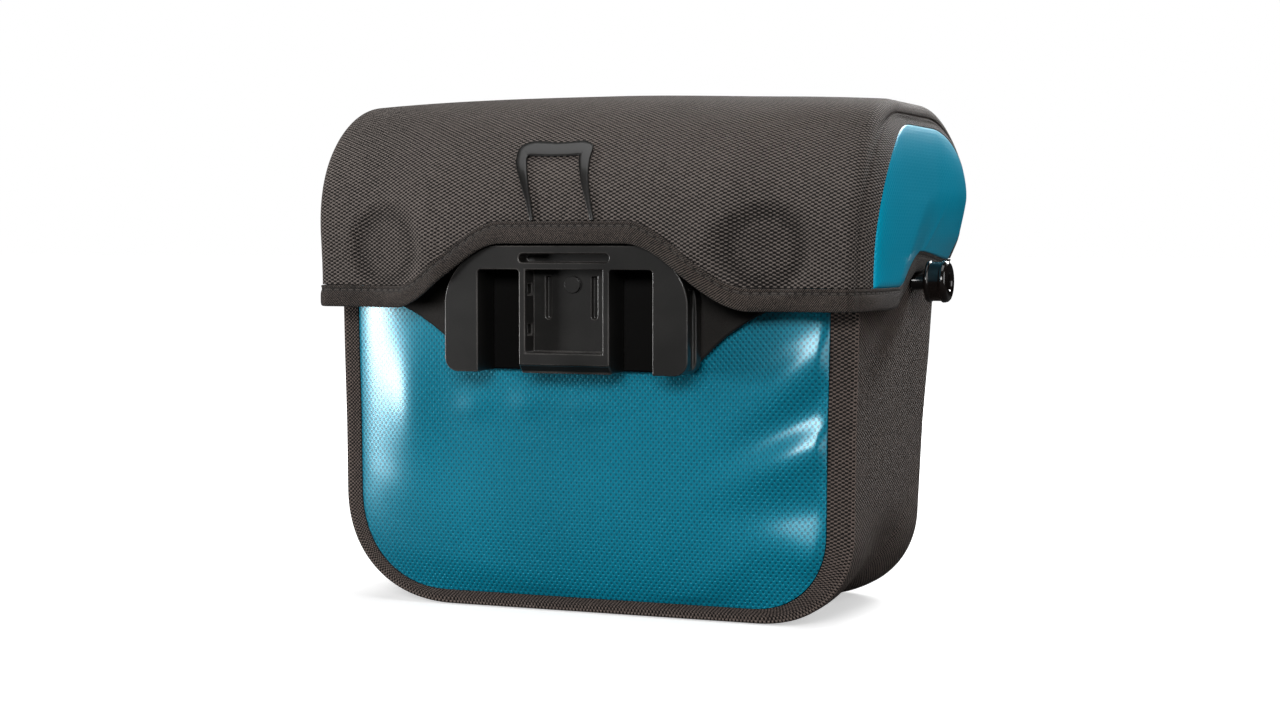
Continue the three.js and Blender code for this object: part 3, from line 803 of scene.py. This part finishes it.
def inlay_place(side):
    """Lays a point of the right end's inlay, or of the left end's, which mirrors it."""
    rear_size, front_size = ([size - seam_gap for size in corner]
                             for corner in (inlay_arch.corner, inlay_arch.far_corner))
    crest, bottom = inlay_arch.crest - seam_gap, hem_height + hem_band + seam_gap
    foot = crest - rear_size[1]

    def edge(z, size):
        lift = np.clip((z - crest + size[1]) / size[1], 0.0, 1.0)
        return size[0] * (1 - np.sqrt(1 - lift ** 2))

    def place(s, t):
        straight = 1 - inlay_round_rows
        turn = np.clip((t - straight) / inlay_round_rows, 0, 1) * math.pi / 2
        rounded = foot + rear_size[1] * np.sin(turn)
        z = np.where(t < straight, lerp(bottom, foot, t / straight), rounded)
        rear = inlay_arch.start + seam_gap + edge(z, rear_size)
        front = inlay_arch.end - seam_gap - edge(z, front_size)
        y = lerp(rear, front, 0.5 - 0.5 * np.cos(math.pi * s))
        from_side = np.minimum(y - rear, front - y)
        from_edge = np.minimum(from_side, np.minimum(hem_edge * t, crest - z + 1))
        puff = lerp(top_puff, low_puff, ease(puff_from - z, 0, puff_ramp))
        puff = puff * (1 - np.exp(-from_edge / puff_edge))
        z = z + (end_hem(y) - hem_height) * np.clip(1 - t / lift_rows, 0, 1) ** lift_power
        off = (y - fold_middle[0]) - fold_slope * (z - fold_middle[1])
        fold = fold_height * bell(off / fold_width) * bell((z - fold_top) / fold_reach)
        x, y, z = lid_surface(np.full_like(z, lid_half), y, z, np.ones_like(z))
        return side * (x - inlay_set_back + fold + puff), y, z, y, z

    return place


# Painted light: the ends' teal is painted far lighter than the faces' teal of the same sheet.
end_teal_painted_lighter = coated_finish("teal end sheet painted lighter", (0.0002, 0.300, 0.465), (0.0004, 0.365, 0.565),
                            emboss=0.25, coat=0.12)
for side, word in ((1, "right"), (-1, "left")):
    inlay = lay_cloth(f"lid_end_sheet_{word}", 120, 90, inlay_place(side))
    grow_wall(inlay, inlay_wall, 0.25)
    wear(inlay, end_teal_painted_lighter, f"lid_end_{word}")


# Lid hem
# A woven binding tape is folded over the lid's open edge and sewn through close to its upper side.
# It arches over the mount and over both strap knobs.

hem_section = np.array([
    # up from the edge, out from the lid
    (9.4, -1.7), (9.5, 0.2), (9.35, 0.62), (8.9, 0.72), (8.2, 0.5), (7.7, 0.42), (7.2, 0.55),
    (6.4, 0.85), (5.0, 1.0), (3.2, 1.0), (1.5, 0.95), (0.6, 0.75), (0.12, 0.3), (0.0, -0.4),
    (0.15, -1.2), (0.7, -1.75), (2.5, -1.85), (6.0, -1.85), (9.0, -1.85), (9.4, -1.7),
])


def hem_path():
    """The lid's plan at its hem, in rows: X, Y, the outward direction, and 1 on an end."""
    reach, near, far = lid_half - lid_fold, flap_back + lid_fold, lid_front - lid_fold
    rear = [(x, flap_back, 0, -1, 0) for x in np.linspace(-reach, reach, 241)]
    front = [(x, lid_front, 0, 1, 0) for x in np.linspace(reach, -reach, 119)]
    turns = [(math.cos(turn), math.sin(turn)) for turn in np.radians(np.linspace(0, 90, 10))]
    side = [(reach + lid_fold * sin, near - lid_fold * cos, sin, -cos, 0) for cos, sin in turns[1:]]
    side += [(lid_half, y, 1, 0, 1) for y in np.linspace(near, far, 150)[1:]]
    side += [(reach + lid_fold * cos, far + lid_fold * sin, cos, sin, 0)
             for cos, sin in turns[1:-1]]
    mirrored = np.array(side)[::-1] * (-1, 1, -1, 1, 1)
    return np.vstack([rear, side, front, mirrored, rear[:1]])


def round_set_in(z):
    """How far the hood's rear corner takes its surface forward at a height."""
    lift = np.clip((z - lid_top + rear_round) / rear_round, 0, 1)
    return rear_round * (1 - np.sqrt(1 - lift ** 2))


def hem_place(s, t):
    loop = hem_path()
    along = run_along(loop[:, 0], loop[:, 1])
    x, y, out_x, out_y, at_end = columns_at(s * along[-1], along, loop)
    row, index = t * (len(hem_section) - 1), np.arange(len(hem_section))
    up, out = columns_at(row, index, hem_section)
    at_rear = y < flap_back + 1e-3
    z = np.where(at_rear, rear_hem(x), end_hem(y)) + up
    y = np.where(at_rear, y + round_set_in(z), y)
    x, y, _ = lid_surface(x, y, z, at_end)
    across = np.interp(row, index, run_along(*hem_section.T))
    return x + out_x * out, y + out_y * out, z, s * along[-1], across


stitch_line, stitch_pitch = 4.2, 3.6


def tape_finish():
    """Binding tape: fine slanting ribs, and a lockstitch sunk in near the upper edge, with painted
    shade in its groove.
    """
    finish = Finish("black binding tape", Sheen_Weight=0.08, Sheen_Roughness=0.4,
                    Specular_IOR_Level=0.2)
    u, v = finish.cloth_place()
    rib = ((u + v * 0.8) * (2 * math.pi / 0.9)).sine()
    cross = ((u - v * 0.6) * (2 * math.pi / 0.75)).sine()
    fuzz = finish.noise(1200.0, 2.0)
    patch = finish.noise(30.0, 4.0)
    off_line = (v - stitch_line).size()
    dash = (u * (2 * math.pi / stitch_pitch)).sine().over(-0.55, -0.3)
    stitch = dash * (1 - off_line.over(0.25, 0.5))
    # The stitch's groove, which also darkens the colour as painted shade.
    stitch_groove_and_shade = (1 - off_line.over(0.4, 0.9)) * 0.7
    tone = rib * 0.55 + cross * 0.35 + (fuzz - 0.5) * 1.4 + (patch - 0.5) * 0.8 + 0.33
    color = finish.blend((0.003, 0.0024, 0.002), (0.125, 0.098, 0.083), tone.over(0.0, 1.0))
    color = finish.blend(color, (0.008, 0.007, 0.006), stitch_groove_and_shade)
    color = finish.blend(color, (0.085, 0.072, 0.064), stitch * 0.9)
    height = rib * 0.5 + cross * 0.3 + fuzz * 0.3 - stitch_groove_and_shade + stitch * 1.2
    return finish.show(color, patch * 0.2 + 0.6, height, 0.3)


lid_hem = lay_cloth("lid_hem_tape", 900, len(hem_section) - 1, hem_place, closed=True)
edit_all(lid_hem, turn_outward)
smooth(lid_hem, 70)
wear(lid_hem, tape_finish(), "lid_hem")


# Lid pull loop
# A flat moulded tab is sewn into the hem and lies up against the flap: two tapering legs and a
# wider bar, which is pulled to open the lid.

loop_outline = [
    # across, up, width of the band
    (-13.2, 170.9, 1.5), (-15.5, 179.0, 2.2), (-19.5, 189.0, 3.6), (-22.8, 196.5, 5.0),
    (-23.0, 201.0, 6.0), (-19.5, 201.9, 6.4), (-15.0, 201.6, 6.4), (-9.0, 201.2, 6.2),
    (-2.0, 201.4, 6.4), (2.8, 201.8, 6.4), (6.0, 201.0, 6.0), (6.6, 196.5, 5.0),
    (8.6, 189.0, 3.6), (12.0, 179.0, 2.2), (14.6, 170.9, 1.5),
]

loop_depth, loop_sunk, loop_squareness = 1.0, 0.3, 0.6
loop_girth = 12.0
loop_aim = 1.2


def flap_y(x, z):
    """The flap's outer surface at a place seen from behind the bag."""
    flat = z - crown_over(x, z)
    y = flap_back + round_set_in(flat)
    return lerp(y, flap_plane, flap_pull(x, y, flat))


def squared(wave):
    """Flattens a circle's sine or cosine, for a section between a circle and a rectangle."""
    return np.sign(wave) * np.abs(wave) ** loop_squareness


def loop_place(s, t):
    path = np.array(loop_outline)
    along = run_along(path[:, 0], path[:, 1])
    place = s * along[-1]
    x, z, width = columns_at(place, along, path)
    ahead, behind = (columns_at(place + step, along, path) for step in (loop_aim, -loop_aim))
    run_x, run_z = ahead[0] - behind[0], ahead[1] - behind[1]
    length = np.maximum(np.hypot(run_x, run_z), 1e-6)
    side = squared(np.cos(t * 2 * math.pi)) * width / 2
    proud = loop_sunk + loop_depth * (1 + squared(np.sin(t * 2 * math.pi)))
    x, z = x - run_z / length * side, z + run_x / length * side
    return x, flap_y(x, z) - proud, z, place, t * loop_girth


loop_band = lay_cloth("lid_pull_band", 160, 24, loop_place)
edit_all(
    loop_band,
    weld,
    lambda: bpy.ops.mesh.select_all(action="DESELECT"),
    lambda: bpy.ops.mesh.select_mode(type="EDGE"),
    lambda: bpy.ops.mesh.select_non_manifold(),
    lambda: bpy.ops.mesh.fill(),
    lambda: bpy.ops.mesh.select_all(action="SELECT"),
    turn_outward,
)
smooth(loop_band, 60)


def grained(finish, dark, light):
    """The colour of moulded plastic, with the slow patches and the fine grain that make it."""
    grain = finish.noise(2600.0, 2.0)
    patch = finish.noise(40.0, 4.0)
    return finish.blend(dark, light, (patch * 0.6 + grain * 0.4).over(0.35, 0.75)), patch, grain


def moulded_finish(name, dark, light, rough, grain_depth, coat):
    """Moulded plastic with a fine spark-eroded grain. A paler, smoother copy paints edge
    highlights.
    """
    finish = Finish(name, Specular_IOR_Level=0.35, Coat_Weight=coat, Coat_Roughness=0.12)
    tint, patch, grain = grained(finish, dark, light)
    return finish.show(tint, patch * 0.14 + rough, grain, grain_depth)


satin_black = moulded_finish(
    "satin black moulding", (0.0055, 0.005, 0.0045), (0.0115, 0.0105, 0.0095), 0.36, 0.02, 0.35)
wear(loop_band, satin_black, "lid_pull_loop")


# Mount backplate
# A thin plate of the same black plastic behind the receiver spreads the mount's load over the
# face. The frame's own node is kept as it is, and only gets its finish here.

# The channels' outer edge, and how softly the painted shade inside them fades out.
channel_edge, channel_shade_soft = 40.3, 1.7


def plate_finish():
    """The same plastic with a duller skin, and painted shade, nearly black, in the receiver's open
    channels.
    """
    finish = Finish("dull black plate", Specular_IOR_Level=0.12)
    across = finish.split(finish.object_place())[0].size()
    skin, patch, grain = grained(finish, (0.014, 0.0125, 0.0115), (0.026, 0.0235, 0.0215))
    # Painted shade: the plate is painted nearly black where the receiver's channels lie over it.
    channel_painted_shade = 1 - across.over(channel_edge, channel_edge + channel_shade_soft)
    color = finish.blend(skin, (0.0025, 0.0022, 0.002), channel_painted_shade)
    return finish.show(color, patch * 0.14 + 0.42, grain, 0.02)


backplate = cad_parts["mount_backplate"]
backplate.data.materials.clear()
backplate.data.materials.append(plate_finish())


# Mount housing
# The moulded receiver hooks down over a bracket on the handlebar: two open side channels take the
# bracket's hooks, and the tray between them takes its middle.

housing_low, housing_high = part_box("mount_housing")
face, back = housing_low.y / MM, housing_high.y / MM
low, top, half = housing_low.z / MM, housing_high.z / MM, housing_high.x / MM
over_round, foot_round, over_profile = 24.0, 6.0, 0.46
tray_half, channel_top = 20.8, 150.0
flank_inset, flank_from, flank_to, flank_top = 1.6, 4.5, 10.5, 142.0
slot_low, slot_high, slot_depth = 153.0, 156.8, 8.0
pocket_half, pocket_low, pocket_depth = 17.8, 114.5, 9.0
groove_half, groove_low, groove_high, groove_sunk = 1.2, 129.0, 147.0, 2.0
groove_places = (-10.8, 10.5)
clip_half, clip_inner, clip_outer, clip_from, clip_to = 2.2, 16.5, 20.2, 2.5, 7.5
clip_places = (124.5, 141.5)
lip_height, lip_depth, lip_chamfer = 3.4, 3.2, 3.0
button_radius, button_depth, button_x, button_height = 3.7, 1.4, 0.4, 143.5
channel_round, slot_round, groove_round, edge_round, button_round = 1.5, 1.85, 1.15, 0.55, 0.3

# How far a cutting block reaches past what it cuts, and how near an edge lies to a side of its
# block to be rounded with it.
past, far_past, touch = 2.0, 8.0, 0.1


def added(name, scale=(1, 1, 1)):
    """Names the piece that was just added, and writes its placement into its mesh."""
    piece = bpy.context.object
    piece.name = piece.data.name = name
    piece.scale = scale
    bpy.ops.object.transform_apply(location=True, rotation=True, scale=True)
    return piece


def add_block(name, low, high):
    middle = [(a + b) / 2 * MM for a, b in zip(low, high)]
    bpy.ops.mesh.primitive_cube_add(size=1, location=middle)
    return added(name, [(b - a) * MM for a, b in zip(low, high)])


def round_edges(piece, axis, chosen, radius, segments=8, profile=0.5):
    """Bevels the edges that run along an axis and whose two ends pass the test."""
    select_only(piece)
    bpy.ops.object.mode_set(mode="EDIT")
    bpy.ops.mesh.select_all(action="DESELECT")
    bpy.ops.object.mode_set(mode="OBJECT")
    for edge in piece.data.edges:
        ends = [piece.data.vertices[i].co / MM for i in edge.vertices]
        run = (ends[1] - ends[0]).normalized()
        edge.select = abs(run[axis]) > 0.99 and all(chosen(end) for end in ends)
    bpy.ops.object.mode_set(mode="EDIT")
    bpy.ops.mesh.select_mode(type="EDGE")
    bpy.ops.mesh.bevel(offset=radius * MM, segments=segments, profile=profile, affect="EDGES")
    bpy.ops.object.mode_set(mode="OBJECT")


def cut(piece, tool, operation="DIFFERENCE"):
    apply_modifier(piece, "BOOLEAN", object=tool, operation=operation, solver="EXACT")
    bpy.data.objects.remove(tool)


housing = add_block("mount_receiver", (-half, face, low), (half, back, top))
round_edges(housing, 1, lambda p: p.z > top - touch and abs(p.x) > half - touch,
            over_round, 14, over_profile)
round_edges(housing, 1, lambda p: p.z < low + touch and abs(p.x) > half - touch, foot_round)
for side in (-1, 1):
    left, right = sorted((side * tray_half, side * channel_edge))
    channel = add_block("channel", (left, face - past, low - far_past),
                        (right, back + past, channel_top))
    round_edges(channel, 1, lambda p: p.z > channel_top - touch, channel_round, 4)
    cut(housing, channel)
    flank = add_block("flank", (side * half - flank_inset, face + flank_from, low - past / 2),
                      (side * half + flank_inset, face + flank_to, flank_top))
    cut(housing, flank)
slot = add_block("slot", (-tray_half, face - past, slot_low),
                 (tray_half, face + slot_depth, slot_high))
round_edges(slot, 1, lambda p: abs(p.x) > tray_half - touch, slot_round, 6)
cut(housing, slot)
pocket = add_block("pocket", (-pocket_half, face - past, pocket_low),
                   (pocket_half, face + pocket_depth, channel_top))
cut(housing, pocket)
for middle in groove_places:
    groove = add_block("groove", (middle - groove_half, face + pocket_depth - 1, groove_low),
                       (middle + groove_half, face + pocket_depth + groove_sunk, groove_high))
    round_edges(groove, 1, lambda p: p.z < groove_low + touch, groove_round, 5)
    cut(housing, groove)
for height in clip_places:
    clip = add_block("clip", (-clip_outer, face + clip_from, height - clip_half),
                     (-clip_inner, face + clip_to, height + clip_half))
    cut(housing, clip)
lip = add_block("lip", (-tray_half, face - 3 * past, low - 3 * past),
                (tray_half, face + lip_depth, low + lip_height))
round_edges(lip, 0, lambda p: p.z > low + lip_height - touch and p.y > face + lip_depth - touch,
            lip_chamfer, 1)
cut(housing, lip)
# A paler, smoother copy of the black moulding, for a painted highlight on the rounded edges.
edge_highlight_black = moulded_finish(
    "edge highlight black moulding", (0.016, 0.015, 0.014), (0.085, 0.079, 0.074), 0.3, 0.02, 0.35)
housing.data.materials.append(satin_black)
housing.data.materials.append(edge_highlight_black)
# The bevel's rounded edges take the second material: a painted highlight along every edge.
apply_modifier(housing, "BEVEL", width=edge_round * MM, segments=3, limit_method="ANGLE",
               angle_limit=math.radians(40), material=1, use_clamp_overlap=False)
bpy.ops.mesh.primitive_cylinder_add(
    vertices=48, radius=button_radius * MM, depth=button_depth * MM, rotation=(math.pi / 2, 0, 0),
    location=(button_x * MM, (face + pocket_depth) * MM, button_height * MM))
button = added("button")
apply_modifier(button, "BEVEL", width=button_round * MM, segments=3, limit_method="ANGLE",
               angle_limit=math.radians(40))
cut(housing, button, "UNION")
smooth(housing, 35)
apply_modifier(housing, "WEIGHTED_NORMAL", keep_sharp=True, weight=100)
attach(housing, "root")
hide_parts("mount_housing")


# Strap knobs
# The carrying strap clips over a turned-looking knob on each side. It is moulded in glossy black
# and screwed through the gusset.

knob_reach, knob_height = 16.9, 144.0
knob_rows = [
    # share of the reach, radius
    (0.0, 4.2), (0.02, 4.0), (0.38, 3.6), (0.4, 4.2), (0.4, 8.6), (0.41, 9.0), (0.43, 9.3),
    (0.47, 9.4), (0.5, 9.2), (0.52, 8.75), (0.56, 8.7), (0.75, 8.7), (0.79, 8.75), (0.81, 9.2),
    (0.83, 9.4), (0.9, 9.3), (0.95, 9.0), (0.985, 8.4), (1.0, 7.8), (1.0, 4.2), (0.97, 3.8),
]


def turned_knob(name, side):
    """Pulls a disc out from the gusset along the knob's rows, and mirrors it for the left."""
    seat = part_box("strap_knob_right")[0].x / MM
    bpy.ops.mesh.primitive_circle_add(
        vertices=72, radius=knob_rows[0][1] * MM, fill_type="NGON",
        rotation=(0, math.pi / 2, 0),
        location=(seat * MM, (knob_y + rear_face) * MM, knob_height * MM))
    knob = added(name)

    def turn():
        for (share, radius), (next_share, next_radius) in zip(knob_rows, knob_rows[1:]):
            move = (next_share - share) * knob_reach * MM
            bpy.ops.mesh.extrude_region_move(TRANSFORM_OT_translate={"value": (move, 0, 0)})
            ratio = next_radius / radius
            bpy.ops.transform.resize(value=(1, ratio, ratio))
        bpy.ops.mesh.select_all(action="SELECT")

    edit_all(knob, turn, turn_outward)
    if side < 0:
        for point in knob.data.vertices:
            point.co.x = -point.co.x
        edit_all(knob, bpy.ops.mesh.flip_normals)
    smooth(knob, 40)
    return knob


gloss_black = moulded_finish(
    "gloss black moulding", (0.006, 0.004, 0.0035), (0.013, 0.008, 0.007), 0.12, 0.006, 0.6)
for side, word in ((1, "right"), (-1, "left")):
    knob = turned_knob(f"strap_stud_{word}", side)
    wear(knob, gloss_black, f"strap_knob_{word}")


# Studio
# A white paper floor and a white background, with a soft light on each side, over the top, in
# front and behind. The camera sees both as white, but to the bag they are nearly black, so that
# its gloss mirrors the lights alone.

def paper_finish():
    """White paper for the camera, which glows away from the bag so that its far edge is white."""
    finish = Finish("studio paper", Specular_IOR_Level=0.1, Emission_Strength=1.0)
    patch = finish.noise(3.0, 2.0)
    seen = finish.node("ShaderNodeLightPath", output="Is Camera Ray")
    color = finish.blend((0.03,) * 3, finish.blend((0.86,) * 3, (0.88,) * 3, patch), seen)
    reach = finish.node("ShaderNodeVectorMath", {"operation": "LENGTH"},
                        {0: finish.object_place()}, output="Value")
    glow = finish.blend((0.5,) * 3, (1.05,) * 3, reach.over(0.2, 0.8))
    finish.dress(Emission_Color=finish.blend((0.0,) * 3, glow, seen))
    return finish.show(color, patch * 0.05 + 0.8)


bpy.ops.mesh.primitive_plane_add(size=40, location=(0, 0, -0.0006))
floor = bpy.context.object
floor.name = "studio_floor"
floor.data.materials.append(paper_finish())


def soft_light(name, place, aim, size, power):
    lamp = bpy.data.lights.new(name, "AREA")
    lamp.shape = "RECTANGLE"
    lamp.size, lamp.size_y = size
    lamp.energy = power
    light = bpy.data.objects.new(name, lamp)
    bpy.context.scene.collection.objects.link(light)
    light.location = place
    direction = Vector(aim) - Vector(place)
    light.rotation_euler = direction.to_track_quat("-Z", "Y").to_euler()


soft_light("left_softbox", (-0.74, -0.52, 0.14), (-0.04, 0, 0.10), (0.22, 0.22), 4.5)
soft_light("right_softbox", (1.15, -0.30, 0.45), (0.05, 0, 0.10), (0.6, 0.9), 5.2)
soft_light("rear_softbox", (0.25, 1.45, 0.95), (0, 0, 0.12), (1.0, 0.5), 28)
soft_light("top_softbox", (0.0, -0.15, 1.30), (0, 0, 0.15), (1.2, 0.8), 6.9)
soft_light("front_softbox", (0.30, -1.45, 0.62), (0, 0, 0.12), (0.80, 0.34), 13.5)

world = bpy.data.worlds.new("studio")
bpy.context.scene.world = world
world.use_nodes = True
sky = Nodes(world.node_tree)
sky_shown = sky.node("ShaderNodeMixShader", None, {
    0: sky.node("ShaderNodeLightPath", output="Is Camera Ray"),
    1: sky.node("ShaderNodeBackground", None, {"Color": (0.85, 0.92, 1.0, 1.0), "Strength": 0.015}),
    2: sky.node("ShaderNodeBackground", None, {"Color": (1.0, 1.0, 1.0, 1.0), "Strength": 1.0}),
})
sky.fill(world.node_tree.nodes["World Output"].inputs["Surface"], sky_shown)

camera_data = bpy.data.cameras.new("photo_camera")
camera = bpy.data.objects.new("photo_camera", camera_data)
bpy.context.scene.collection.objects.link(camera)
camera_data.sensor_width = 36.0
camera_data.lens = 62.6
camera.location = (0.3806, -0.9486, 0.1621)
camera.rotation_euler = (math.radians(90 - 3.06), 0, math.radians(21.9))
bpy.context.scene.camera = camera
bpy.context.scene.view_settings.view_transform = "Standard"
